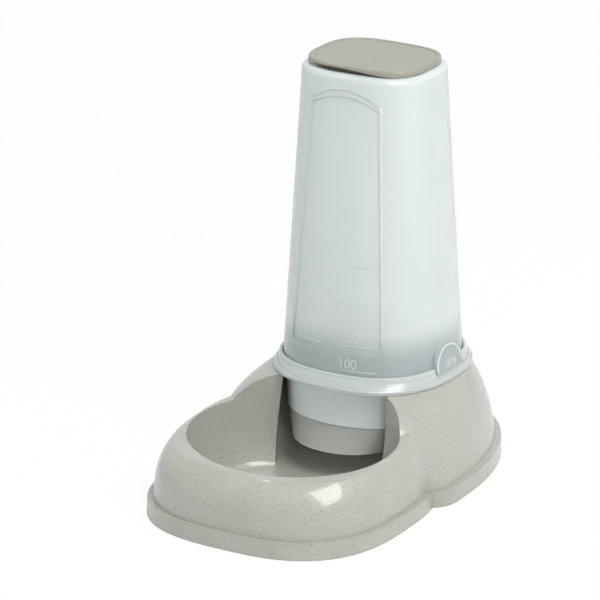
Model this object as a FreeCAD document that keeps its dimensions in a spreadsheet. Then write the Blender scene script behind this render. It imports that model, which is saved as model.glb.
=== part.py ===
"""Gravity dispenser for pet food or water: a moulded base with a bowl, a clear tank on a funnel,
and a lid. Millimetres, +Z up, the bowl towards -Y, the origin on the table under the middle."""
import FreeCAD, Part
import math
import os
import Sketcher
from dataclasses import dataclass, replace

doc = FreeCAD.newDocument("dispenser")
sheet = doc.addObject("Spreadsheet::Sheet", "sizes")

# Driving dimensions, each with its name in the sheet
drivingSizes = {
    # Whole base
    "baseLength": 300.0,
    "skirtLift": 0.8,
    "skirtHeight": 11.2,
    "skirtDraft": 0.5,
    "ledge": 2.6,
    "baseWall": 2.4,
    # Front lobe, which carries the bowl
    "lobeWidth": 178.0,
    "lobeReach": 92.5,
    "lobePower": 2.76,
    "domeHeight": 50.0,
    "domeTilt": 0.065,
    "domeRound": 5.0,
    "creaseRound": 6.0,
    # Bowl
    "bowlWidth": 148.0,
    "bowlLength": 128.0,
    "bowlDraft": 11.0,
    "bowlFloor": 4.6,
    "bowlCorner": 6.0,
    # Rear housing
    "tankBehindMiddle": 50.5,
    "housingWidth": 188.8,
    "housingBeforeTank": 35.0,
    "housingFront": 38.0,
    "collarHeight": 49.0,
    "collarFlare": 13.5,
    "collarFront": 60.0,
    "collarBackFlare": 10.5,
    "seatHeight": 68.0,
    "innerDrop": 9.2,
    # Rim ring round the foot of the tank
    "rimBeside": 6.5,
    "rimAhead": 7.5,
    "rimPower": 2.4,
    "rimDrop": 3.6,
    "rimNotch": 0.9,
    "rimBead": 1.9,
    "rimLip": 2.0,
    "tankLedge": 2.2,
    "rimHeight": 11.0,
    # Spout under the ring
    "spoutInsideTank": 1.0,
    "spoutMiddleBeside": 5.0,
    "spoutMiddleAhead": 12.5,
    "spoutMiddleHeight": 41.0,
    "spoutSeam": 0.5,
    "spoutMouthBeside": 18.5,
    "spoutMouthAhead": 24.5,
    "spoutMouthHeight": 24.0,
    "spoutMouthForward": 35.5,
    "spoutWall": 1.5,
    "linerWall": 1.3,
    # Recess in the base round the spout
    "recessWall": 3.0,
    "recessFloorBeside": 18.0,
    "recessFloorFront": 36.0,
    "recessFloorBack": 34.0,
    # Tank
    "tankWidth": 117.0,
    "tankLength": 118.0,
    "tankTopWidth": 92.5,
    "tankTopLength": 79.0,
    "tankHeight": 212.0,
    "tankPower": 2.5,
    "tankTopPower": 3.0,
    "tankWall": 2.0,
    "tankShoulder": 4.5,
    "neckHeight": 1.6,
    "neckWall": 1.8,
    # Arched panel in the front of the tank
    "panelWidth": 70.0,
    "panelTopWidth": 52.0,
    "panelAboveFoot": 22.6,
    "panelBelowTop": 9.8,
    "panelArch": 11.5,
    "panelStep": 0.35,
    "panelDepth": 0.75,
    "panelSill": 1.0,
    "panelLintel": 5.0,
    "panelInnerArch": 7.5,
    # Squeeze pads beside the foot of the tank
    "padWidth": 36.0,
    "padHeight": 24.0,
    "padReach": 4.0,
    "padBelowRim": 5.0,
    # Seals
    "sealThickness": 1.2,
    "sealWidth": 1.8,
    # Lid
    "lidBeside": 3.75,
    "lidAhead": 4.5,
    "lidPower": 3.1,
    "lidPlate": 1.9,
    "lidWall": 1.6,
    "sealSleeve": 0.8,
    "lidDish": 0.6,
    "lidRim": 3.2,
    "lidRound": 1.2,
    "plugDepth": 9.0,
    "fingerSlot": 1.7,
    "fingerSlotLength": 58.0,
    # Feet
    "footDiameter": 11.0,
    "footThickness": 2.0,
    "stemDiameter": 6.0,
    "stemLength": 5.0,
    "bossDiameter": 14.5,
    "bossHeight": 8.5,
    "frontFootAngle": 45.0,
    "rearFootAngle": 60.0,
    # Clearances
    "gap": 0.3,
}
for row, (alias, value) in enumerate(drivingSizes.items(), start=1):
    sheet.set(f"A{row}", alias)
    sheet.set(f"B{row}", str(value))
    sheet.setAlias(f"B{row}", alias)
doc.recompute()


def size(alias):
    """A driving dimension, read from the sheet."""
    return float(sheet.get(alias))


@dataclass(frozen=True)
class Oval:
    """A smooth closed outline: a superellipse whose front and back halves may differ."""
    height: float
    centre: float
    halfWidth: float
    front: float
    back: float
    frontPower: float
    backPower: float
    tilt: float = 0.0

    def point(self, angle, margin=0.0):
        """The point in a direction from the centre, a margin inside the outline."""
        along, across = math.sin(angle), math.cos(angle)
        reach, power = (self.back, self.backPower) if along >= 0 else (self.front, self.frontPower)
        radius = (abs(across / self.halfWidth) ** power + abs(along / reach) ** power) ** (-1 / power)
        radius -= margin
        return FreeCAD.Vector(radius * across, self.centre + radius * along,
                              self.height + self.tilt * radius * along)

    def wire(self):
        """The outline as one periodic spline through evenly spread directions."""
        count = 32
        points = [self.point(2 * math.pi * index / count) for index in range(count)]
        curve = Part.BSplineCurve()
        curve.interpolate(Points=points, PeriodicFlag=True,
                          Parameters=[float(index) for index in range(count + 1)])
        return Part.Wire(curve.toShape())

    def grown(self, margin, height=None):
        """The same outline, larger by a margin all round and at another height."""
        return replace(self, height=self.height if height is None else height,
                       halfWidth=self.halfWidth + margin, front=self.front + margin,
                       back=self.back + margin)


def skin(name, sections, ruled=True):
    """A solid lofted through outlines."""
    feature = doc.addObject("Part::Feature", name)
    feature.Shape = Part.makeLoft([section.wire() for section in sections], True, ruled)
    return feature


def evenOval(height, centre, halfWidth, halfLength, power):
    """An outline with equal front and back."""
    return Oval(height, centre, halfWidth, halfLength, halfLength, power, power)


def cut(name, base, tool):
    """One solid less another."""
    feature = doc.addObject("Part::Cut", name)
    feature.Base, feature.Tool = base, tool
    feature.Refine = False
    return feature


def fuse(name, shapes):
    """Several solids as one moulding."""
    feature = doc.addObject("Part::MultiFuse", name)
    feature.Shapes = shapes
    feature.Refine = False
    return feature


def common(name, shapes):
    """What several solids share."""
    feature = doc.addObject("Part::MultiCommon", name)
    feature.Shapes = shapes
    feature.Refine = False
    return feature


def upright(name, diameter, length, place, level):
    """A cylinder along Z, its sizes and its level bound to expressions."""
    cylinder = doc.addObject("Part::Cylinder", name)
    cylinder.setExpression("Radius", f"({diameter}) / 2")
    cylinder.setExpression("Height", length)
    cylinder.Placement.Base = FreeCAD.Vector(place[0], place[1], 0)
    cylinder.setExpression("Placement.Base.z", level)
    return cylinder


# Levels and outlines that several pieces share
above = 30.0
gap = size("gap")
halfBase = size("baseLength") / 2
axisY = size("tankBehindMiddle")
housingCentre = axisY - size("housingBeforeTank")
skirtBottom = size("skirtLift")
skirtTop = skirtBottom + size("skirtHeight")
seat = size("seatHeight")
ledgeLevel = seat + size("tankLedge")
tankFoot = ledgeLevel + size("sealThickness")
rimTop = seat + size("rimHeight")
tankTop = tankFoot + size("tankHeight")
tankHalfWidth, tankHalfLength = size("tankWidth") / 2, size("tankLength") / 2
topHalfWidth, topHalfLength = size("tankTopWidth") / 2, size("tankTopLength") / 2
rimHalfWidth = tankHalfWidth + size("rimBeside")
rimHalfLength = tankHalfLength + size("rimAhead")
rimOutline = evenOval(seat, axisY, rimHalfWidth, rimHalfLength, size("rimPower"))
tankFootOutline = evenOval(tankFoot, axisY, tankHalfWidth, tankHalfLength, size("tankPower"))
tankTopOutline = evenOval(tankTop, axisY, topHalfWidth, topHalfLength, size("tankTopPower"))
lidOutline = evenOval(tankTop + gap, axisY, topHalfWidth - size("lidBeside"),
                      topHalfLength - size("lidAhead"), size("lidPower"))


# Base: outer skins
lobeCentre = size("lobeReach") - halfBase
housingBack = halfBase - housingCentre


def lobeSection(height, inset, nose=0.0, tilt=0.0):
    """The front lobe's outline, drawn in from the skirt by an inset, and by a nose at the front."""
    reach = size("lobeReach") - inset - nose
    outline = evenOval(height, lobeCentre, size("lobeWidth") / 2 - inset, reach, size("lobePower"))
    return replace(outline, tilt=tilt)


def housingSection(height, inset):
    """The rear housing's outline near the table."""
    return Oval(height, housingCentre, size("housingWidth") / 2 - inset,
                size("housingFront") - inset, housingBack - inset, 6.0, 2.1)


def collarSection(inset):
    """The housing's outline at the collar, where it reaches forward over the lobe."""
    back = size("housingBeforeTank") + rimHalfLength + size("collarBackFlare")
    return Oval(size("collarHeight"), housingCentre, rimHalfWidth + size("collarFlare") - inset,
                size("collarFront") - inset, back - inset, 3.0, 2.5)


def baseSkins(name, inset, bottom):
    """The front lobe and the housing above the skirt as one solid, drawn in by an inset."""
    foot = size("skirtDraft") + size("ledge") + inset
    dome = size("domeHeight") - inset
    rise = dome - skirtBottom
    lobe = skin(name + "Lobe", [
        lobeSection(bottom, foot),
        lobeSection(skirtBottom + 0.45 * rise, foot + 1.4, 1.5),
        lobeSection(skirtBottom + 0.8 * rise, foot + 4.4, 5.0, 0.6 * size("domeTilt")),
        lobeSection(dome, foot + 10.0, 12.0, size("domeTilt"))], ruled=False)
    rimSeat = rimOutline.grown(-0.5 - 2 * inset, seat - inset)
    housing = skin(name + "Housing", [housingSection(bottom, foot), collarSection(inset), rimSeat],
                   ruled=False)
    return fuse(name + "Joined", [lobe, housing])


def onDome(point):
    """How far a point lies from the tilted plane on top of the front lobe."""
    return abs(point.z - size("domeHeight") - size("domeTilt") * (point.y - lobeCentre))


def lobeEdges(shape):
    """The numbers of the edges round the dome's top, and of the two creases beside the housing."""
    rim, crease = [], []
    for number, edge in enumerate(shape.Edges, start=1):
        ends = [edge.valueAt(edge.FirstParameter), edge.valueAt(edge.LastParameter)]
        middle = edge.valueAt((edge.FirstParameter + edge.LastParameter) / 2)
        seam = len(shape.ancestorsOfType(edge, Part.Face)) < 2
        if seam or max(onDome(end) for end in ends) > 0.5 * size("domeHeight") and min(
                onDome(end) for end in ends) > 0.5:
            continue
        if all(onDome(point) < 0.05 for point in ends + [middle]):
            if middle.y < lobeCentre or abs(middle.x) > size("bowlWidth") / 2 - 3.0:
                rim.append(number)
        elif abs(ends[0].z - ends[1].z) > 10.0 and abs(middle.y - lobeCentre) > 10.0:
            crease.append(number)
    return rim, crease


def softened(name, joined):
    """The lobe and the housing with the dome's edge rounded and the creases filled."""
    rim, crease = lobeEdges(joined.Shape)
    rounded = doc.addObject("Part::Fillet", name)
    rounded.Base = joined
    rounded.Edges = ([(number, size("domeRound"), size("domeRound")) for number in rim]
                     + [(number, size("creaseRound"), size("creaseRound")) for number in crease])
    return rounded


lobeSkirt = skin("lobeSkirt", [lobeSection(skirtBottom, 0.0), lobeSection(skirtTop, size("skirtDraft"))])
housingSkirt = skin("housingSkirt", [housingSection(skirtBottom, 0.0),
                                     housingSection(skirtTop, size("skirtDraft"))])
outerJoined = baseSkins("outer", 0.0, skirtBottom)
doc.recompute()
outerSkin = fuse("outerSkin", [lobeSkirt, housingSkirt, softened("outerSoft", outerJoined)])
innerSkin = baseSkins("inner", size("baseWall"), skirtBottom - size("innerDrop"))


# Base: the basin, made of the bowl and the recess that holds the spout
def bowlSolid(name, margin, top):
    """The bowl's inside, or with a margin the outside of its wall."""
    rim = evenOval(size("domeHeight"), lobeCentre, size("bowlWidth") / 2 + margin,
                   size("bowlLength") / 2 + margin, 2.0)
    floor = size("bowlFloor") - margin
    draft = size("bowlDraft")
    walls = skin(name + "Walls", [rim.grown(-draft, floor), rim.grown(-0.33 * draft, 0.5 * rim.height),
                                  rim, rim.grown(0.05 * draft, top)], ruled=False)
    rounded = doc.addObject("Part::Fillet", name)
    rounded.Base = walls
    edge = bottomEdge(walls.Shape)
    rounded.Edges = [(edge, size("bowlCorner") + margin, size("bowlCorner") + margin)]
    return rounded


def bottomEdge(shape, height=None):
    """The number of the closed edge at a level, the lowest by default."""
    level = shape.BoundBox.ZMin if height is None else height
    for number, edge in enumerate(shape.Edges, start=1):
        box = edge.BoundBox
        if abs(box.ZMin - level) < 0.01 and abs(box.ZMax - level) < 0.01:
            return number
    raise ValueError(f"no edge at {level}")


def recessSolid(name, margin, top):
    """The recess round the spout, or with a margin the outside of its wall."""
    floor = size("bowlFloor") - margin
    mouthCentre = axisY - size("spoutMouthForward")
    head = rimOutline.grown(margin - size("recessWall"), seat)
    foot = Oval(floor, mouthCentre, head.halfWidth - size("recessFloorBeside"),
                size("recessFloorFront") + margin, size("recessFloorBack") + margin, 5.0, 3.0)
    return skin(name, [foot, head, head.grown(0.0, top)])


bowl = bowlSolid("bowl", 0.0, rimTop)
recess = recessSolid("recess", 0.0, seat + above)
blocks = fuse("blocks", [bowlSolid("bowlBlock", size("baseWall"), rimTop),
                         recessSolid("recessBlock", size("baseWall"), seat + above)])

# Base: a socket for each foot, in the corners of the skirt
socketMargin = size("bossDiameter") / 2 + 1.0
frontFoot = lobeSection(skirtBottom, 0.0).point(-math.radians(size("frontFootAngle")), socketMargin)
rearFoot = housingSection(skirtBottom, 0.0).point(math.radians(size("rearFootAngle")), socketMargin)
footPlaces = {
    "foot_front_left": (-frontFoot.x, frontFoot.y),
    "foot_front_right": (frontFoot.x, frontFoot.y),
    "foot_rear_left": (-rearFoot.x, rearFoot.y),
    "foot_rear_right": (rearFoot.x, rearFoot.y),
}
bosses = []
bores = []
for node, place in footPlaces.items():
    bosses.append(upright(node + "Boss", "sizes.bossDiameter", "sizes.bossHeight",
                          place, "sizes.skirtLift"))
    bores.append(upright(node + "Bore", "sizes.stemDiameter + 0.1",
                         "sizes.footThickness + sizes.stemLength + 0.5", place, "0"))
    bores.append(upright(node + "Seat", "sizes.footDiameter + 0.4", "sizes.footThickness",
                         place, "0"))
shell = cut("shell", outerSkin, innerSkin)
basinWalls = common("basinWalls", [blocks, outerSkin])
doubleWalled = fuse("doubleWalled", [shell, basinWalls])
openBowl = cut("openBowl", doubleWalled, bowl)
openRecess = cut("openRecess", openBowl, recess)
withSockets = fuse("withSockets", [openRecess] + bosses)
base = cut("baseMoulding", withSockets, fuse("stemBores", bores))
base.Label = "base"

# Feet: a pad with a stem that presses into its boss
feet = []
for node, (placeX, placeY) in footPlaces.items():
    body = doc.addObject("PartDesign::Body", node + "Body")
    planes = {feature.Role: feature for feature in body.Origin.OriginFeatures}
    profile = body.newObject("Sketcher::SketchObject", node + "Profile")
    profile.AttachmentSupport = (planes["XZ_Plane"], [""])
    profile.MapMode = "FlatFace"
    radius, thick = size("footDiameter") / 2, size("footThickness")
    stem, length = size("stemDiameter") / 2, size("stemLength")
    corners = [(0, 0), (radius, 0), (radius, thick), (stem, thick), (stem, thick + length),
               (0, thick + length)]
    count = len(corners)
    for index, (startX, startY) in enumerate(corners):
        endX, endY = corners[(index + 1) % count]
        profile.addGeometry(Part.LineSegment(FreeCAD.Vector(startX, startY, 0),
                                             FreeCAD.Vector(endX, endY, 0)))
    for index in range(count):
        profile.addConstraint(Sketcher.Constraint("Coincident", index, 2, (index + 1) % count, 1))
        direction = "Horizontal" if index % 2 == 0 else "Vertical"
        profile.addConstraint(Sketcher.Constraint(direction, index))
    profile.addConstraint(Sketcher.Constraint("Coincident", 0, 1, -1, 1))
    for line, bound in ((0, "sizes.footDiameter / 2"), (1, "sizes.footThickness"),
                        (3, "sizes.stemLength"), (4, "sizes.stemDiameter / 2")):
        number = profile.addConstraint(Sketcher.Constraint("Distance", line, 1.0 + line))
        profile.setExpression(f"Constraints[{number}]", bound)
    turned = body.newObject("PartDesign::Revolution", node + "Turned")
    turned.Profile = profile
    turned.ReferenceAxis = (profile, ["V_Axis"])
    turned.Angle = 360.0
    body.Tip = turned
    body.Placement.Base = FreeCAD.Vector(placeX, placeY, 0)
    body.Label = node
    feet.append(body)

# Funnel: the rim ring round the tank's foot and the spout below, in one moulding
rimRise = size("rimHeight")
rimNotch = size("rimNotch")
beadLevel = seat + size("rimDrop")
lip = gap + size("rimLip")
ringSkin = skin("ringSkin", [
    rimOutline.grown(-rimNotch),
    rimOutline.grown(0.0, seat + rimNotch),
    rimOutline.grown(0.0, beadLevel - rimNotch),
    rimOutline.grown(-rimNotch, beadLevel),
    rimOutline.grown(-size("rimBead") - 0.3, beadLevel + size("rimBead")),
    rimOutline.grown(-size("rimBead") - rimNotch, beadLevel + size("rimBead") - 0.2),
    rimOutline.grown(-2 * size("rimBead"), seat + 0.66 * rimRise),
    tankFootOutline.grown(lip, seat + 0.82 * rimRise),
    tankFootOutline.grown(lip - 0.3, rimTop - 0.4),
    tankFootOutline.grown(lip - 1.1, rimTop),
])


def spoutSections(inset, top):
    """The slanting spout's outlines, drawn in from its outside by an inset."""
    middleLevel, mouthLevel = size("spoutMiddleHeight"), size("spoutMouthHeight")
    forward = size("spoutMouthForward")
    middleShift = 0.4 * forward
    half = tankHalfWidth - size("spoutInsideTank") - inset
    head = evenOval(top, axisY, half, half, 2.4)
    middle = evenOval(middleLevel, axisY - middleShift, half - size("spoutMiddleBeside"),
                      half - size("spoutMiddleAhead"), 2.1)
    mouth = evenOval(mouthLevel, axisY - forward, half - size("spoutMouthBeside"),
                     half - size("spoutMouthAhead"), 2.0)
    return head, middle, mouth


spoutHead, spoutMiddle, spoutMouth = spoutSections(0.0, seat)
seam = size("spoutSeam")
spoutSkin = skin("spoutSkin", [spoutHead.grown(0.0, seat + 1.0), spoutHead, spoutMiddle,
                               spoutMiddle.grown(-seam, spoutMiddle.height - seam),
                               spoutMouth.grown(-seam)])
upperInset = size("spoutWall")
lowerInset = upperInset + size("linerWall") - 0.1
upperHead, upperMiddle, upperMouth = spoutSections(upperInset, ledgeLevel)
upperBore = skin("upperBore", [upperHead.grown(0.0, ledgeLevel + 1.0), upperHead, upperMiddle])
lowerHead, lowerMiddle, lowerMouth = spoutSections(lowerInset, ledgeLevel)
lowerBore = skin("lowerBore", [lowerMiddle.grown(0.0, size("spoutMiddleHeight") + 1.0), lowerMiddle,
                               lowerMouth, lowerMouth.grown(0.0, size("spoutMouthHeight") - 1.0)])
socket = skin("socket", [tankFootOutline.grown(gap, ledgeLevel),
                         tankFootOutline.grown(gap, rimTop + 1.0)])
funnelBlank = fuse("funnelBlank", [ringSkin, spoutSkin])

# Funnel: the lip is open beside the squeeze pads, so that they lift out with the tank
padNotch = doc.addObject("Part::Box", "padNotch")
padNotch.setExpression("Length", "sizes.tankWidth + 2 * (sizes.padReach + sizes.gap)")
padNotch.setExpression("Width", "sizes.padWidth + 2 * sizes.gap")
padNotch.setExpression("Height", "sizes.padBelowRim + sizes.gap + 1")
padNotch.setExpression("Placement.Base.x", "-(sizes.tankWidth / 2 + sizes.padReach + sizes.gap)")
padNotch.setExpression("Placement.Base.y", "sizes.tankBehindMiddle - sizes.padWidth / 2 - sizes.gap")
padNotch.setExpression("Placement.Base.z",
                       "sizes.seatHeight + sizes.rimHeight - sizes.padBelowRim - sizes.gap")
funnel = cut("funnelMoulding", funnelBlank,
             fuse("funnelBore", [upperBore, lowerBore, socket, padNotch]))
funnel.Label = "funnel"

# Liner that stands on the shelf inside the spout
linerOuter = [upperHead.grown(-gap), upperMiddle.grown(-gap)]
linerInner = [section.grown(-size("linerWall")) for section in linerOuter]
liner = cut("linerMoulding", skin("linerSkin", linerOuter), skin("linerBore", linerInner))
liner.Label = "spout_liner"

# Seal under the tank's foot
tankSealMiddle = tankFootOutline.grown(-size("tankWall") / 2)
sealHalf = size("sealWidth") / 2
tankSeal = cut("tankSealRing",
               skin("tankSealOuter", [tankSealMiddle.grown(sealHalf - 0.1, ledgeLevel),
                                      tankSealMiddle.grown(sealHalf - 0.1, tankFoot)]),
               skin("tankSealInner", [tankSealMiddle.grown(-sealHalf, ledgeLevel),
                                      tankSealMiddle.grown(-sealHalf, tankFoot)]))
tankSeal.Label = "tank_seal"

# Tank: a tapered shell, open at the foot and at the neck
tankSkin = skin("tankSkin", [tankFootOutline, tankTopOutline])
tankBlank = doc.addObject("Part::Fillet", "tankBlank")
tankBlank.Base = tankSkin
tankBlank.Edges = [(bottomEdge(tankSkin.Shape, tankTop), size("tankShoulder"),
                    size("tankShoulder"))]
innerTop = tankTop - size("tankWall")
tankHollowSkin = skin("tankHollowSkin", [tankFootOutline.grown(-size("tankWall")),
                                         tankTopOutline.grown(-size("tankWall"), innerTop)])
tankHollow = doc.addObject("Part::Fillet", "tankHollow")
tankHollow.Base = tankHollowSkin
innerRound = size("tankShoulder") - size("tankWall")
tankHollow.Edges = [(bottomEdge(tankHollowSkin.Shape, innerTop), innerRound, innerRound)]

neckTop = tankTop + size("neckHeight")
neckOutline = lidOutline.grown(-size("lidWall") - size("sealSleeve") - 2 * gap, tankTop - 1.0)
neck = skin("neck", [neckOutline, neckOutline.grown(0.0, neckTop)])
mouthOutline = neckOutline.grown(-size("neckWall"), innerTop - 1.0)
mouth = skin("mouth", [mouthOutline, mouthOutline.grown(0.0, neckTop + 1.0)])


padFoot = rimTop - size("padBelowRim")


def archPrism(name, direction, sketchFrame, bounds, depth):
    """A prism with an arched top. Its sketch is held by half widths, levels and the arch's radius."""
    footHalf, springHalf, footLevel, springLevel, radius = bounds
    sketch = doc.addObject("Sketcher::SketchObject", name + "Outline")
    sketch.Placement = sketchFrame
    roughHalf, roughFoot, roughSpring, roughArch = 20.0, 90.0, 150.0, 10.0
    corners = [FreeCAD.Vector(-roughHalf, roughFoot, 0), FreeCAD.Vector(roughHalf, roughFoot, 0),
               FreeCAD.Vector(roughHalf, roughSpring, 0), FreeCAD.Vector(-roughHalf, roughSpring, 0)]
    apex = FreeCAD.Vector(0, roughSpring + roughArch, 0)
    sketch.addGeometry(Part.LineSegment(corners[0], corners[1]))
    sketch.addGeometry(Part.LineSegment(corners[1], corners[2]))
    sketch.addGeometry(Part.Arc(corners[2], apex, corners[3]))
    sketch.addGeometry(Part.LineSegment(corners[3], corners[0]))
    origin, upAxis = -1, -2
    for line in range(4):
        sketch.addConstraint(Sketcher.Constraint("Coincident", line, 2, (line + 1) % 4, 1))
    sketch.addConstraint(Sketcher.Constraint("Symmetric", 0, 1, 0, 2, upAxis))
    sketch.addConstraint(Sketcher.Constraint("Symmetric", 3, 1, 1, 2, upAxis))
    for kind, line, point, bound, rough in (("DistanceX", 0, 2, footHalf, roughHalf),
                                            ("DistanceY", 0, 2, footLevel, roughFoot),
                                            ("DistanceX", 1, 2, springHalf, roughHalf),
                                            ("DistanceY", 1, 2, springLevel, roughSpring)):
        number = sketch.addConstraint(Sketcher.Constraint(kind, origin, 1, line, point, rough))
        sketch.setExpression(f"Constraints[{number}]", bound)
    roughRadius = (roughHalf ** 2 + roughArch ** 2) / (2 * roughArch)
    number = sketch.addConstraint(Sketcher.Constraint("Radius", 2, roughRadius))
    sketch.setExpression(f"Constraints[{number}]", radius)
    prism = doc.addObject("Part::Extrusion", name)
    prism.Base = sketch
    prism.DirMode = "Custom"
    prism.Dir = direction
    prism.LengthFwd = depth
    prism.Solid = True
    return prism


def archRadius(half, rise):
    """The radius of an arch over a half width, as an expression."""
    return f"(pow({half}; 2) + pow({rise}; 2)) / (2 * ({rise}))"


# Tank: the arched panel, sunk in two steps
turnUp = FreeCAD.Rotation(FreeCAD.Vector(1, 0, 0), 90)
panelFrame = FreeCAD.Placement(FreeCAD.Vector(0, axisY, 0), turnUp)
footText = "(sizes.seatHeight + sizes.tankLedge + sizes.sealThickness)"
topText = f"({footText} + sizes.tankHeight)"


def panelStep(name, depth, sill, lintel, arch, margin):
    """One step of the panel: what it takes from the tank's skin down to a depth."""
    springHalf = f"(sizes.panelTopWidth / 2 - {margin})"
    bounds = (f"sizes.panelWidth / 2 - {margin}", springHalf,
              f"{footText} + sizes.panelAboveFoot + {sill}",
              f"{topText} - sizes.panelBelowTop - {lintel} - {arch}",
              archRadius(springHalf, arch))
    prism = archPrism(name + "Prism", FreeCAD.Vector(0, -1, 0), panelFrame, bounds, tankHalfLength + above)
    floor = skin(name + "Floor", [tankFootOutline.grown(-depth), tankTopOutline.grown(-depth)])
    return cut(name, prism, floor)


panelCut = fuse("panelCut", [
    panelStep("outerStep", size("panelStep"), "0", "0", "sizes.panelArch", "0"),
    panelStep("innerStep", size("panelDepth"), "sizes.panelSill", "sizes.panelLintel",
              "sizes.panelInnerArch", "sizes.panelSill")])


def padSolid(name, side):
    """A squeeze pad that starts flush with the wall and stands out towards its foot."""
    turned = FreeCAD.Rotation(FreeCAD.Vector(0, 0, 1), 90).multiply(turnUp)
    frame = FreeCAD.Placement(FreeCAD.Vector(0, axisY, 0), turned)
    footLevel = "sizes.seatHeight + sizes.rimHeight - sizes.padBelowRim"
    bounds = ("sizes.padWidth / 2", "sizes.padWidth / 2", footLevel,
              f"{footLevel} + sizes.padHeight - sizes.padWidth / 2", "sizes.padWidth / 2")
    prism = archPrism(name + "Prism", FreeCAD.Vector(side, 0, 0), frame, bounds, tankHalfWidth + above)
    top = padFoot + size("padHeight")
    taper = (tankHalfWidth - topHalfWidth) / size("tankHeight")
    flush = tankFootOutline.grown(-taper * (top - tankFoot), top)
    proud = tankFootOutline.grown(size("padReach") - taper * (padFoot - tankFoot), padFoot)
    wedge = skin(name + "Wedge", [proud, flush])
    return common(name, [prism, wedge])


padRight = padSolid("padRight", 1)
padLeft = padSolid("padLeft", -1)
tankShell = fuse("tankShell", [tankBlank, neck, padRight, padLeft])
tank = cut("tankMoulding", tankShell, fuse("tankInside", [tankHollow, mouth, panelCut]))
tank.Label = "tank"

# Lid: a dished plate with a side wall, and a plug that enters the neck
plateUnder = neckTop + size("sealThickness")
lidTop = plateUnder + size("lidPlate")
lidRound = size("lidRound")
lidBlank = skin("lidBlank", [lidOutline, lidOutline.grown(0.0, lidTop - lidRound),
                             lidOutline.grown(-0.3 * lidRound, lidTop - 0.3 * lidRound),
                             lidOutline.grown(-lidRound, lidTop)])
lidInside = skin("lidInside", [lidOutline.grown(-size("lidWall"), tankTop - 1.0),
                               lidOutline.grown(-size("lidWall"), plateUnder)])
dish = skin("dish", [lidOutline.grown(-size("lidRim"), lidTop - size("lidDish")),
                     lidOutline.grown(-size("lidRim") + 0.6, lidTop + 0.1)])
slot = doc.addObject("Part::Cylinder", "fingerSlotCutter")
slot.setExpression("Radius", "(pow(sizes.fingerSlotLength / 2; 2) + pow(sizes.fingerSlot; 2))"
                             " / (2 * sizes.fingerSlot)")
slot.setExpression("Height", "sizes.tankTopLength / 2")
slotRadius = ((size("fingerSlotLength") / 2) ** 2 + size("fingerSlot") ** 2) / (2 * size("fingerSlot"))
slot.Placement = FreeCAD.Placement(
    FreeCAD.Vector(0, axisY, tankTop + gap + size("fingerSlot") - slotRadius), turnUp)
slotFront = cut("slotFront", slot, skin("slotStop", [lidOutline.grown(-size("lidWall") - gap, 0.0),
                                                     lidOutline.grown(-size("lidWall") - gap, lidTop)]))
lidShell = cut("lidShell", lidBlank, fuse("lidCuts", [lidInside, dish, slotFront]))
plugOutline = mouthOutline.grown(-gap, plateUnder - size("plugDepth"))
plugBore = plugOutline.grown(-size("lidWall"))
plug = cut("plug", skin("plugSkin", [plugOutline.grown(-0.8),
                                     plugOutline.grown(0.0, plateUnder - size("plugDepth") + 3.0),
                                     plugOutline.grown(0.0, plateUnder + 0.5)]),
           skin("plugBore", [plugBore.grown(-0.8), plugBore.grown(0.0, plateUnder)]))
lid = fuse("lidMoulding", [lidShell, plug])
lid.Label = "lid"

# Seal between the lid's plate and the top of the neck, with a sleeve round the neck
sealOutline = neckOutline.grown(size("sealSleeve") + gap, tankTop + gap)
neckRoom = neckOutline.grown(gap / 2)
sealBore = neckOutline.grown(0.1 - size("neckWall"))
lidSeal = cut("lidSealRing",
              skin("lidSealOuter", [sealOutline, sealOutline.grown(0.0, plateUnder)]),
              fuse("lidSealInside", [skin("neckRoom", [neckRoom, neckRoom.grown(0.0, neckTop)]),
                                     skin("sealBore", [sealBore, sealBore.grown(0.0, plateUnder + 1.0)])]))
lidSeal.Label = "lid_seal"

# Build, check and write each piece
doc.recompute()
pieces = [base] + feet + [funnel, liner, tankSeal, tank, lid, lidSeal]
for feature in doc.Objects:
    if "Invalid" in feature.State or "Error" in feature.State:
        raise RuntimeError(f"{feature.Name} failed: {feature.State}")
os.makedirs("parts", exist_ok=True)
for piece in pieces:
    shape = piece.Shape
    if shape.isNull() or not shape.isValid():
        raise RuntimeError(f"{piece.Label} is not a valid solid")
    shape.exportStep(os.path.join("parts", piece.Label + ".step"))
    box = shape.BoundBox
    print(f"{piece.Label}: {len(shape.Solids)} solid, {shape.Volume / 1000:.1f} cm3, "
          f"x {box.XMin:.1f} {box.XMax:.1f}, y {box.YMin:.1f} {box.YMax:.1f}, "
          f"z {box.ZMin:.1f} {box.ZMax:.1f}")
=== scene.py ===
import math

import bmesh
import bpy
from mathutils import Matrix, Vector
from mathutils.bvhtree import BVHTree


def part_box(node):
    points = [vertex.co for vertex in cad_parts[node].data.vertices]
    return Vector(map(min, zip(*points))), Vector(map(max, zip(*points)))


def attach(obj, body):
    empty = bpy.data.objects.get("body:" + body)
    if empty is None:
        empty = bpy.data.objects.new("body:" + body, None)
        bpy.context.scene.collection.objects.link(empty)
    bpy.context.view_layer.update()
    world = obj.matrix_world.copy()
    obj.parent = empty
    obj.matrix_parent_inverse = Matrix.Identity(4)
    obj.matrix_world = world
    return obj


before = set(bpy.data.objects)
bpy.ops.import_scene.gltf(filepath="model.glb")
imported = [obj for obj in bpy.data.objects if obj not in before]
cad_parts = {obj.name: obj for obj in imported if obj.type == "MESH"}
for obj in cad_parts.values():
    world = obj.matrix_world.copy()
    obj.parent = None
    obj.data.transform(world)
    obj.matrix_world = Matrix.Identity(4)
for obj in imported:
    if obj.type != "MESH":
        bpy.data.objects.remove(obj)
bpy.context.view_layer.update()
print("frame loaded:", len(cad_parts), "nodes")

mm = 0.001


# Node helpers, short names for what every material does

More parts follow.
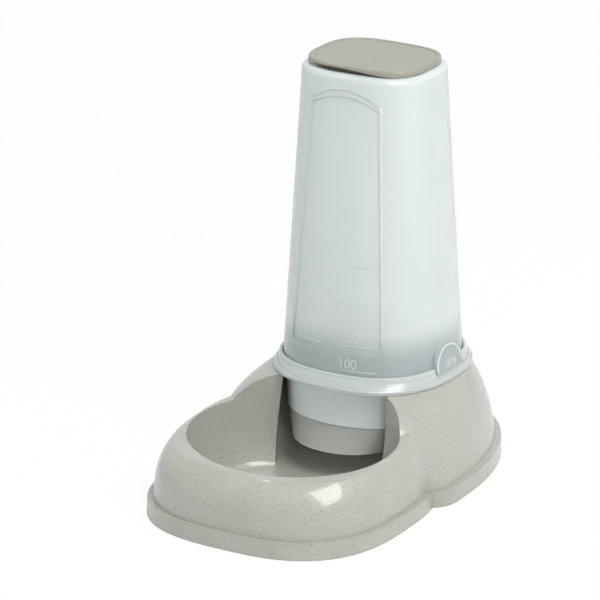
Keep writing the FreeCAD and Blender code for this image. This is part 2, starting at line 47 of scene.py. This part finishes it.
def newMaterial(name):
    material = bpy.data.materials.new(name)
    material.use_nodes = True
    tree = material.node_tree
    return material, tree, tree.nodes["Principled BSDF"]


def addNode(tree, kind, **settings):
    node = tree.nodes.new(kind)
    for key, value in settings.items():
        setattr(node, key, value)
    return node


def feed(tree, socket, value):
    if isinstance(value, bpy.types.NodeSocket):
        tree.links.new(value, socket)
    else:
        socket.default_value = value


def setInputs(tree, node, values):
    for name, value in values.items():
        feed(tree, node.inputs[name], value)


def objectCoordinates(tree):
    return addNode(tree, "ShaderNodeTexCoord").outputs["Object"]


def noiseOf(tree, coordinates, look):
    noise = addNode(tree, "ShaderNodeTexNoise")
    setInputs(tree, noise, {"Vector": coordinates, "Scale": 1.0 / look["size"],
                            "Detail": look["detail"], "Roughness": look["roughness"]})
    return noise.outputs["Fac"]


def ranged(tree, value, low, high, toLow=0.0, toHigh=1.0):
    node = addNode(tree, "ShaderNodeMapRange", interpolation_type="SMOOTHSTEP")
    setInputs(tree, node, {"Value": value, "From Min": low, "From Max": high,
                           "To Min": toLow, "To Max": toHigh})
    return node.outputs["Result"]


def calculated(tree, operation, first, second):
    node = addNode(tree, "ShaderNodeMath", operation=operation)
    feed(tree, node.inputs[0], first)
    feed(tree, node.inputs[1], second)
    return node.outputs[0]


def byHeight(tree, coordinates, start, steps):
    parts = addNode(tree, "ShaderNodeSeparateXYZ")
    tree.links.new(coordinates, parts.inputs["Vector"])
    total = start
    for low, high, change in steps:
        step = ranged(tree, parts.outputs["Z"], low, high, 0.0, change)
        total = calculated(tree, "ADD", step, total)
    return total


def blended(tree, factor, first, second):
    node = addNode(tree, "ShaderNodeMix", data_type="RGBA")
    tree.links.new(factor, node.inputs["Factor"])
    for name, value in (("A", first), ("B", second)):
        feed(tree, node.inputs[name], (*value, 1.0) if isinstance(value, tuple) else value)
    return node.outputs["Result"]


def bumpFrom(tree, shader, height, look, edgeRadius=0.0):
    bump = addNode(tree, "ShaderNodeBump")
    if edgeRadius:
        edge = addNode(tree, "ShaderNodeBevel", samples=4)
        edge.inputs["Radius"].default_value = edgeRadius
        tree.links.new(edge.outputs["Normal"], bump.inputs["Normal"])
    setInputs(tree, bump, {"Strength": look["strength"], "Distance": look["depth"],
                           "Height": height})
    tree.links.new(bump.outputs["Normal"], shader.inputs["Normal"])


def layered(tree, coordinates, layer, ground, over):
    patches = ranged(tree, noiseOf(tree, coordinates, layer), layer["low"], layer["high"])
    return blended(tree, calculated(tree, "MULTIPLY", patches, layer["weight"]), ground, over)


# Speckled plastic, the colour of pale stone, for the base and the lid

graniteLook = {
    "ground": (0.475, 0.475, 0.43),
    "shade": (0.37, 0.36, 0.315),
    "cloud": {"size": 30 * mm, "detail": 3.0, "roughness": 0.5,
              "low": 0.3, "high": 0.7, "weight": 0.35},
    "grain": {"size": 0.7 * mm, "detail": 2.0, "roughness": 0.7,
              "low": 0.25, "high": 0.75, "weight": 0.65},
    "specks": (
        {"colour": (0.52, 0.53, 0.50), "spacing": 1.0 * mm,
         "share": 0.2, "radius": 0.42, "weight": 0.3},
        {"colour": (0.20, 0.17, 0.135), "spacing": 1.1 * mm,
         "share": 0.3, "radius": 0.36, "weight": 0.55},
        {"colour": (0.09, 0.075, 0.06), "spacing": 1.7 * mm,
         "share": 0.36, "radius": 0.25, "weight": 0.8},
    ),
    "dimples": {"size": 5 * mm, "detail": 2.0, "roughness": 0.5,
                "depth": 0.05 * mm, "strength": 0.6},
    "edgeRadius": 1.1 * mm,
    "roughness": 0.36,
    "coat": 0.75,
    "coatRoughness": 0.05,
    "specular": 0.35,
}
speckSoftness = {"choice": 0.02, "core": 0.55}
lidLook = dict(graniteLook, ground=(0.36, 0.345, 0.29), shade=(0.31, 0.29, 0.24),
               edgeRadius=1.0 * mm, roughness=0.42, coat=0.25)


def speckMask(tree, coordinates, speck):
    cells = addNode(tree, "ShaderNodeTexVoronoi", feature="F1")
    setInputs(tree, cells, {"Vector": coordinates, "Scale": 1.0 / speck["spacing"]})
    parts = addNode(tree, "ShaderNodeSeparateColor")
    tree.links.new(cells.outputs["Color"], parts.inputs["Color"])
    fewest = 1.0 - speck["share"]
    chosen = ranged(tree, parts.outputs["Red"], fewest, fewest + speckSoftness["choice"])
    spot = ranged(tree, cells.outputs["Distance"], speckSoftness["core"] * speck["radius"],
                  speck["radius"], 1.0, 0.0)
    return calculated(tree, "MULTIPLY", chosen, spot)


def granitePlastic(name, look):
    material, tree, shader = newMaterial(name)
    where = objectCoordinates(tree)
    ground = look["ground"]
    for layer in (look["cloud"], look["grain"]):
        ground = layered(tree, where, layer, ground, look["shade"])
    for speck in look["specks"]:
        mask = calculated(tree, "MULTIPLY", speckMask(tree, where, speck), speck["weight"])
        ground = blended(tree, mask, ground, speck["colour"])
    setInputs(tree, shader, {"Base Color": ground, "Roughness": look["roughness"],
                             "Coat Weight": look["coat"], "Coat Roughness": look["coatRoughness"],
                             "Specular IOR Level": look["specular"]})
    dimples = noiseOf(tree, where, look["dimples"])
    bumpFrom(tree, shader, dimples, look["dimples"], look["edgeRadius"])
    return material


# Milky plastic for the tank, the funnel, the liner and the moulded marks

milkyLook = {
    "ground": (0.92, 0.962, 0.955),
    "thick": (0.895, 0.942, 0.937),
    # Painted shade: towards the tank's foot the ground turns to this darker colour, for the dark
    # base seen through the wall
    "foot": (0.77, 0.83, 0.84),
    "paintedShadeLevels": (84 * mm, 110 * mm),
    "haze": {"size": 45 * mm, "detail": 3.0, "roughness": 0.5,
             "low": 0.3, "high": 0.7, "weight": 0.5},
    "peel": {"size": 2.2 * mm, "detail": 2.0, "roughness": 0.5,
             "depth": 0.03 * mm, "strength": 0.5},
    "transmission": 0.66,
    "steps": ((88 * mm, 112 * mm, -0.21),),
    "roughness": 0.2,
    "refraction": 1.47,
    "coat": 0.25,
    "coatRoughness": 0.2,
}
# Painted shade: below the seam the funnel's ground turns darker, for the dark bowl seen through it
ringLook = dict(milkyLook, foot=(0.72, 0.735, 0.70), paintedShadeLevels=(40.8 * mm, 41.2 * mm),
                transmission=0.55,
                steps=((40.8 * mm, 41.2 * mm, -0.42), (66 * mm, 70 * mm, 0.42)))
linerLook = dict(milkyLook, foot=None, ground=(0.72, 0.745, 0.70), thick=(0.67, 0.695, 0.65),
                 transmission=0.4, steps=None)
markLook = dict(milkyLook, foot=None, transmission=0.46, steps=None)
# A lighter, less clear copy of the mark plastic: a painted highlight on the right panel bead, the
# pad ribs and the spout seam
beadHighlightLook = dict(markLook, ground=(0.96, 0.98, 0.975), thick=(0.95, 0.975, 0.97),
                transmission=0.36)


def milkyPlastic(name, look):
    material, tree, shader = newMaterial(name)
    where = objectCoordinates(tree)
    ground = layered(tree, where, look["haze"], look["ground"], look["thick"])
    # Painted shade: below the given levels the ground turns to the darker foot colour
    if look["foot"]:
        above = byHeight(tree, where, 0.0, ((*look["paintedShadeLevels"], 1.0),))
        ground = blended(tree, above, look["foot"], ground)
    setInputs(tree, shader, {"Base Color": ground, "Roughness": look["roughness"],
                             "IOR": look["refraction"], "Transmission Weight": look["transmission"],
                             "Coat Weight": look["coat"], "Coat Roughness": look["coatRoughness"]})
    if look["steps"]:
        clearness = byHeight(tree, where, look["transmission"], look["steps"])
        tree.links.new(clearness, shader.inputs["Transmission Weight"])
    bumpFrom(tree, shader, noiseOf(tree, where, look["peel"]), look["peel"])
    return material


# Soft rubber and silicone for the seals and the feet

rubberLook = {
    "detail": 4.0,
    "roughness": 0.6,
    "low": 0.3,
    "high": 0.7,
    "depth": 0.06 * mm,
    "strength": 0.7,
    "matt": 0.62,
}


def softRubber(name, dark, light, grainSize):
    material, tree, shader = newMaterial(name)
    grain = noiseOf(tree, objectCoordinates(tree), dict(rubberLook, size=grainSize))
    tone = ranged(tree, grain, rubberLook["low"], rubberLook["high"])
    setInputs(tree, shader, {"Base Color": blended(tree, tone, dark, light),
                             "Roughness": rubberLook["matt"]})
    bumpFrom(tree, shader, grain, rubberLook)
    return material


materials = {
    "granite": granitePlastic("granitePlastic", graniteLook),
    "lid": granitePlastic("lidPlastic", lidLook),
    "milky": milkyPlastic("milkyPlastic", milkyLook),
    "ring": milkyPlastic("ringPlastic", ringLook),
    "liner": milkyPlastic("linerPlastic", linerLook),
    "silicone": softRubber("siliconeSeal", (0.62, 0.62, 0.60), (0.72, 0.72, 0.70), 0.8 * mm),
    # Dark rubber for the lid's seal, also used as painted shade in the finger slot
    "darkSealAndSlotShade": softRubber("darkSealAndSlotShade", (0.035, 0.028, 0.022), (0.06, 0.05, 0.04), 0.8 * mm),
    "marks": milkyPlastic("markPlastic", markLook),
    "beads": milkyPlastic("beadPlasticPaintedHighlight", beadHighlightLook),
    "rubber": softRubber("footRubber", (0.025, 0.025, 0.025), (0.06, 0.06, 0.06), 0.7 * mm),
}
print("materials ready:", len(materials))


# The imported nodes: each keeps its mesh and gets its finish

nodeFinish = {
    "base": ("granite", "granite_plastic"),
    "foot_front_left": ("rubber", "rubber"),
    "foot_front_right": ("rubber", "rubber"),
    "foot_rear_left": ("rubber", "rubber"),
    "foot_rear_right": ("rubber", "rubber"),
    "funnel": ("ring", "milky_plastic"),
    "spout_liner": ("liner", "milky_plastic"),
    "tank_seal": ("silicone", "silicone"),
    "tank": ("milky", "milky_plastic"),
    "lid": ("lid", "lid_plastic"),
    # The lid's seal is dark rubber, kept dark also as painted shade seen through the finger slot
    "lid_seal": ("darkSealAndSlotShade", "rubber"),
}
for nodeName, (finish, slotName) in nodeFinish.items():
    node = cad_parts[nodeName]
    node.data.materials.clear()
    node.data.materials.append(materials[finish])
print("nodes dressed:", len(nodeFinish))


# Shapes that lie on a wall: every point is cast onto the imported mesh, so a strip follows its curve

castFrom = 300 * mm
front = (0.0, 1.0, 0.0)
moulded = []


def wallOf(nodeName):
    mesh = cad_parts[nodeName].data
    return BVHTree.FromPolygons([tuple(corner.co) for corner in mesh.vertices],
                                [tuple(face.vertices) for face in mesh.polygons])


tankWall = wallOf("tank")


def onWall(point, inward, proud, wall=tankWall):
    inward = Vector(inward)
    place, normal = wall.ray_cast(Vector(point) - inward * castFrom, inward)[:2]
    return place + normal.normalized() * proud


def addPiece(name, shape, finish, body="tank"):
    mesh = bpy.data.meshes.new(name)
    shape.to_mesh(mesh)
    shape.free()
    for face in mesh.polygons:
        face.use_smooth = True
    mesh.materials.append(materials[finish])
    piece = bpy.data.objects.new(name, mesh)
    bpy.context.scene.collection.objects.link(piece)
    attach(piece, body)
    moulded.append(name)


def skinRings(shape, rings):
    rings = [[shape.verts.new(corner) for corner in ring] for ring in rings]
    for first, second in zip(rings, rings[1:]):
        for index in range(len(first)):
            after = (index + 1) % len(first)
            shape.faces.new((first[index], second[index], second[after], first[after]))
    shape.faces.new(rings[0])
    shape.faces.new(rings[-1][::-1])


def straight(start, end, steps=12):
    return [Vector(start).lerp(Vector(end), step / steps) for step in range(steps + 1)]


# A strip's round profile: how far it stands proud, sinks in, and how fast it fades at its ends

markRise = {
    "proud": 0.3 * mm,
    "sunk": 0.5 * mm,
    "turns": (180, 150, 120, 90, 60, 30, 0),
    "fade": 3.0,
}


def wallStrip(shape, path, half, inward, rise, wall=tankWall):
    path = [Vector(point) for point in path]
    rings = []
    for index, middle in enumerate(path):
        along = (path[min(index + 1, len(path) - 1)] - path[max(index - 1, 0)]).normalized()
        across = along.cross(Vector(inward)).normalized()
        share = (index + 0.5) / len(path)
        height = rise["proud"] * min(1.0, rise["fade"] * share, rise["fade"] * (1.0 - share))
        turns = [math.radians(turn) for turn in rise["turns"]]
        corners = [(-half, -rise["sunk"])]
        corners += [(half * math.cos(turn), height * math.sin(turn)) for turn in turns]
        corners += [(half, -rise["sunk"])]
        rings.append([onWall(middle + across * offset, inward, proud, wall)
                      for offset, proud in corners])
    skinRings(shape, rings)


# The tank's scale: plain bars, left and right end and level in mm, and plain figures

barHalf = 0.42 * mm
levelMarks = {
    "mark_level_upper": ((8.7, 28.5), 153.8),
    "mark_level_middle": ((3.5, 27.0), 128.2),
    "mark_level_lower": ((5.5, 30.2), 98.9),
    "mark_level_foot": ((6.9, 31.7), 81.7),
    "mark_left_upper": ((-32.6, -12.2), 137.6),
    "mark_left_lower": ((-31.1, -8.2), 97.9),
}
for markName, ((left, right), level) in levelMarks.items():
    markShape = bmesh.new()
    bar = straight((left * mm, 0.0, level * mm), (right * mm, 0.0, level * mm))
    wallStrip(markShape, bar, barHalf, front, markRise)
    addPiece(markName, markShape, "marks")

figures = {
    "mark_figure_lower": ("200", (6.8, 19.5), (100.9, 108.3)),
    "mark_figure_foot": ("100", (7.4, 19.2), (83.2, 90.2)),
}
figureRise = {"proud": 0.2 * mm, "sunk": 0.5 * mm}


def figureMesh(name, digits):
    curve = bpy.data.curves.new(name, "FONT")
    curve.body = digits
    curve.extrude = 0.5
    curve.resolution_u = 4
    holder = bpy.data.objects.new(name, curve)
    bpy.context.scene.collection.objects.link(holder)
    bpy.context.view_layer.update()
    seen = holder.evaluated_get(bpy.context.evaluated_depsgraph_get())
    mesh = bpy.data.meshes.new_from_object(seen)
    bpy.data.objects.remove(holder)
    bpy.data.curves.remove(curve)
    return mesh


def figureMark(name, digits, span, levels):
    mesh = figureMesh(name + "Outline", digits)
    lows = [min(corner.co[axis] for corner in mesh.vertices) for axis in range(3)]
    highs = [max(corner.co[axis] for corner in mesh.vertices) for axis in range(3)]
    for corner in mesh.vertices:
        shares = [(corner.co[axis] - lows[axis]) / (highs[axis] - lows[axis]) for axis in range(3)]
        across = span[0] + (span[1] - span[0]) * shares[0]
        up = levels[0] + (levels[1] - levels[0]) * shares[1]
        rise = figureRise["proud"] if shares[2] > 0.5 else -figureRise["sunk"]
        corner.co = onWall((across * mm, 0.0, up * mm), front, rise)
    shape = bmesh.new()
    shape.from_mesh(mesh)
    bpy.data.meshes.remove(mesh)
    bmesh.ops.recalc_face_normals(shape, faces=shape.faces)
    addPiece(name, shape, "marks")


for figureName, (digits, span, levels) in figures.items():
    figureMark(figureName, digits, span, levels)


# The beads round the tank's front panel, in mm

panelBead = {"foot": 101.0, "spring": 264.8, "footHalf": 34.6, "springHalf": 26.3, "rise": 8.8}
innerBead = {"spring": 261.2, "springHalf": 24.6, "rise": 8.4}
beadSteps = 40


def archPath(look):
    half, rise = look["springHalf"], look["rise"]
    radius = (half * half + rise * rise) / (2 * rise)
    reach = math.asin(half / radius)
    turns = [reach * (2 * step / beadSteps - 1) for step in range(beadSteps + 1)]
    crown = look["spring"] + rise
    return [(radius * math.sin(turn) * mm, 0.0, (crown - radius * (1 - math.cos(turn))) * mm)
            for turn in turns]


def panelSide(side):
    return straight((side * panelBead["footHalf"] * mm, 0.0, panelBead["foot"] * mm),
                    (side * panelBead["springHalf"] * mm, 0.0, panelBead["spring"] * mm), beadSteps)


beads = {
    # The right bead takes the lighter bead plastic as a painted highlight; the others take the mark
    # plastic
    "panel_bead_right": (panelSide(1.0), 1.0 * mm, "beads"),
    "panel_bead_left": (panelSide(-1.0), 0.7 * mm, "marks"),
    "panel_bead_arch": (archPath(panelBead), 0.8 * mm, "marks"),
    "panel_bead_inner": (archPath(innerBead), 1.1 * mm, "marks"),
}
for beadName, (beadPath, beadHalf, finish) in beads.items():
    beadShape = bmesh.new()
    wallStrip(beadShape, beadPath, beadHalf, front, markRise)
    addPiece(beadName, beadShape, finish)


# The grip ribs on the two pads and the arch round them, in mm

padRibs = {"count": 5, "pitch": 3.2, "foot": 76.4, "rise": 6.0,
           "half": 0.5, "fall": 0.5, "steps": 6}
padArch = {"half": 16.4, "rise": 15.0, "foot": 76.0, "lineHalf": 0.7, "steps": 30}
ribRise = dict(markRise, proud=0.45 * mm)
tankMiddle = Vector([sum(ends) / 2 for ends in zip(*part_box("tank"))])
for side, sideName in ((1.0, "right"), (-1.0, "left")):
    inward = (-side, 0.0, 0.0)
    ribShape = bmesh.new()
    for index in range(padRibs["count"]):
        offset = index - (padRibs["count"] - 1) / 2
        across = tankMiddle.y + offset * padRibs["pitch"] * mm
        top = padRibs["foot"] + padRibs["rise"] - padRibs["fall"] * offset * offset
        rib = straight((0.0, across, padRibs["foot"] * mm), (0.0, across, top * mm),
                       padRibs["steps"])
        wallStrip(ribShape, rib, padRibs["half"] * mm, inward, ribRise)
    turns = [math.pi * step / padArch["steps"] for step in range(padArch["steps"] + 1)]
    edge = [(0.0, tankMiddle.y + padArch["half"] * math.cos(turn) * mm,
             (padArch["foot"] + padArch["rise"] * math.sin(turn)) * mm) for turn in turns]
    wallStrip(ribShape, edge, padArch["lineHalf"] * mm, inward, ribRise)
    # The ribs and their arch take the lighter bead plastic: real ridges with a painted highlight
    addPiece("pad_ribs_" + sideName, ribShape, "beads")


# The seam line round the spout, in mm: a real raised strip in the lighter bead plastic, with a
# painted highlight

seam = {"level": 41.45, "reach": 23.5, "half": 0.36, "steps": 30}
seamRise = dict(markRise, proud=0.14 * mm, sunk=0.3 * mm)
seamPath = straight((-seam["reach"] * mm, 0.0, seam["level"] * mm),
                    (seam["reach"] * mm, 0.0, seam["level"] * mm), seam["steps"])
seamShape = bmesh.new()
wallStrip(seamShape, seamPath, seam["half"] * mm, front, seamRise, wallOf("funnel"))
addPiece("spout_seam", seamShape, "beads", "funnel_unit")


# Painted shade of the finger slot: a dark pointed strip under the lid's front edge, standing for the
# shadow in the slot, in mm

lidSlotShade = {"left": -31.0, "right": 11.0, "half": 1.05, "below": 2.75, "wallBelow": 1.2,
           "proud": 0.12, "sunk": 0.6, "steps": 36}
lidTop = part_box("lid")[1][2]
lidWall = wallOf("lid")
slotLevel = lidTop - lidSlotShade["below"] * mm
wallLevel = lidTop - lidSlotShade["wallBelow"] * mm
slotPath = straight((lidSlotShade["left"] * mm, 0.0, wallLevel), (lidSlotShade["right"] * mm, 0.0, wallLevel),
                    lidSlotShade["steps"])
slotRings = []
for index, point in enumerate(slotPath):
    outside = onWall(point, front, 0.0, lidWall)
    half = lidSlotShade["half"] * mm * math.sin(math.pi * (index + 0.5) / len(slotPath))
    near, deep = outside.y - lidSlotShade["proud"] * mm, outside.y + lidSlotShade["sunk"] * mm
    slotRings.append([(outside.x, deep, slotLevel + half), (outside.x, near, slotLevel + half),
                      (outside.x, near, slotLevel - half), (outside.x, deep, slotLevel - half)])
slotShape = bmesh.new()
skinRings(slotShape, slotRings)
bmesh.ops.recalc_face_normals(slotShape, faces=slotShape.faces)
# The strip takes the dark seal rubber as painted shade
addPiece("lid_slot_painted_shade", slotShape, "darkSealAndSlotShade", "lid")
print("marks moulded:", len(moulded))


# Floor: pale paper that the camera sees as nearly white

floorLook = {
    "size": 6.0,
    "paper": (0.86, 0.86, 0.86, 1.0),
    "white": (1.0, 1.0, 1.0, 1.0),
    "seenWhite": 0.95,
}


def stageFloor(look):
    mesh = bpy.data.meshes.new("floor")
    shape = bmesh.new()
    bmesh.ops.create_grid(shape, x_segments=1, y_segments=1, size=look["size"])
    shape.to_mesh(mesh)
    shape.free()
    floor = bpy.data.objects.new("floor", mesh)
    bpy.context.scene.collection.objects.link(floor)
    material = bpy.data.materials.new("floorPaper")
    material.use_nodes = True
    tree = material.node_tree
    tree.nodes.clear()
    paper = addNode(tree, "ShaderNodeBsdfDiffuse")
    paper.inputs["Color"].default_value = look["paper"]
    white = addNode(tree, "ShaderNodeEmission")
    white.inputs["Color"].default_value = look["white"]
    rays = addNode(tree, "ShaderNodeLightPath")
    mix = addNode(tree, "ShaderNodeMixShader")
    seen = calculated(tree, "MULTIPLY", rays.outputs["Is Camera Ray"], look["seenWhite"])
    tree.links.new(seen, mix.inputs["Fac"])
    tree.links.new(paper.outputs["BSDF"], mix.inputs[1])
    tree.links.new(white.outputs["Emission"], mix.inputs[2])
    output = addNode(tree, "ShaderNodeOutputMaterial")
    tree.links.new(mix.outputs["Shader"], output.inputs["Surface"])
    mesh.materials.append(material)


# World: soft light that is a little stronger from one side, and white where the camera sees it

roomLight = {
    "towards": (0.12, 0.82, 0.56),
    "lean": (-0.5, 0.75),
    "colour": (0.955, 0.985, 1.0),
    "low": 0.7,
    "high": 0.87,
    "seen": (1.0, 1.0, 1.0, 1.0),
}


def stageWorld(look):
    world = bpy.data.worlds.new("studio")
    bpy.context.scene.world = world
    world.use_nodes = True
    tree = world.node_tree
    tree.nodes.clear()
    white = addNode(tree, "ShaderNodeBackground")
    white.inputs["Color"].default_value = look["seen"]
    room = addNode(tree, "ShaderNodeBackground")
    lean = addNode(tree, "ShaderNodeVectorMath", operation="DOT_PRODUCT")
    lean.inputs[1].default_value = look["towards"]
    tree.links.new(addNode(tree, "ShaderNodeTexCoord").outputs["Generated"], lean.inputs[0])
    strength = ranged(tree, lean.outputs["Value"], *look["lean"], look["low"], look["high"])
    setInputs(tree, room, {"Color": (*look["colour"], 1.0), "Strength": strength})
    rays = addNode(tree, "ShaderNodeLightPath")
    mix = addNode(tree, "ShaderNodeMixShader")
    tree.links.new(rays.outputs["Is Camera Ray"], mix.inputs["Fac"])
    tree.links.new(room.outputs["Background"], mix.inputs[1])
    tree.links.new(white.outputs["Background"], mix.inputs[2])
    output = addNode(tree, "ShaderNodeOutputWorld")
    tree.links.new(mix.outputs["Shader"], output.inputs["Surface"])


# Lamps: the key lights the colours, and the two with gloss only shine

lamps = {
    "key": {"place": (0.74, -0.34, 1.3), "size": (0.75, 0.75), "power": 11.0, "gloss": False},
    "softbox": {"place": (0.72, -0.36, 1.27), "size": (0.62, 1.45), "power": 19.0, "gloss": True},
    "spot": {"place": (-0.6, 0.107, 1.33), "size": (0.05, 0.04), "power": 0.06, "gloss": True},
}
lampColour = (1.0, 0.99, 0.965)
aimPoint = Vector((0.0, 0.0, 0.12))


def areaLamp(name, lamp):
    light = bpy.data.lights.new(name, "AREA")
    light.energy = lamp["power"]
    light.shape = "RECTANGLE"
    light.size, light.size_y = lamp["size"]
    light.color = lampColour
    holder = bpy.data.objects.new(name, light)
    bpy.context.scene.collection.objects.link(holder)
    holder.location = lamp["place"]
    holder.visible_diffuse = not lamp["gloss"]
    holder.visible_glossy = lamp["gloss"]
    holder.rotation_euler = (aimPoint - holder.location).to_track_quat("-Z", "Y").to_euler()


cameraView = {
    "azimuth": 30.82,
    "elevation": 19.86,
    "distance": 2.87175,
    "aim": (-0.0616, 0.0556, 0.0995),
    "lens": 247.77,
    "sensor": 36.0,
    "clipEnd": 30.0,
}


def placeCamera(view):
    turn, rise = math.radians(view["azimuth"]), math.radians(view["elevation"])
    back = Vector((math.sin(turn) * math.cos(rise), -math.cos(turn) * math.cos(rise),
                   math.sin(rise)))
    camera = bpy.data.cameras.new("camera")
    camera.lens = view["lens"]
    camera.sensor_width = view["sensor"]
    camera.clip_end = view["clipEnd"]
    holder = bpy.data.objects.new("camera", camera)
    bpy.context.scene.collection.objects.link(holder)
    holder.location = Vector(view["aim"]) + back * view["distance"]
    holder.rotation_euler = (-back).to_track_quat("-Z", "Y").to_euler()
    bpy.context.scene.camera = holder


stageFloor(floorLook)
stageWorld(roomLight)
for lampName, lampSettings in lamps.items():
    areaLamp(lampName, lampSettings)
placeCamera(cameraView)
bpy.context.scene.view_settings.view_transform = "Standard"
print("stage ready")

bpy.context.view_layer.update()
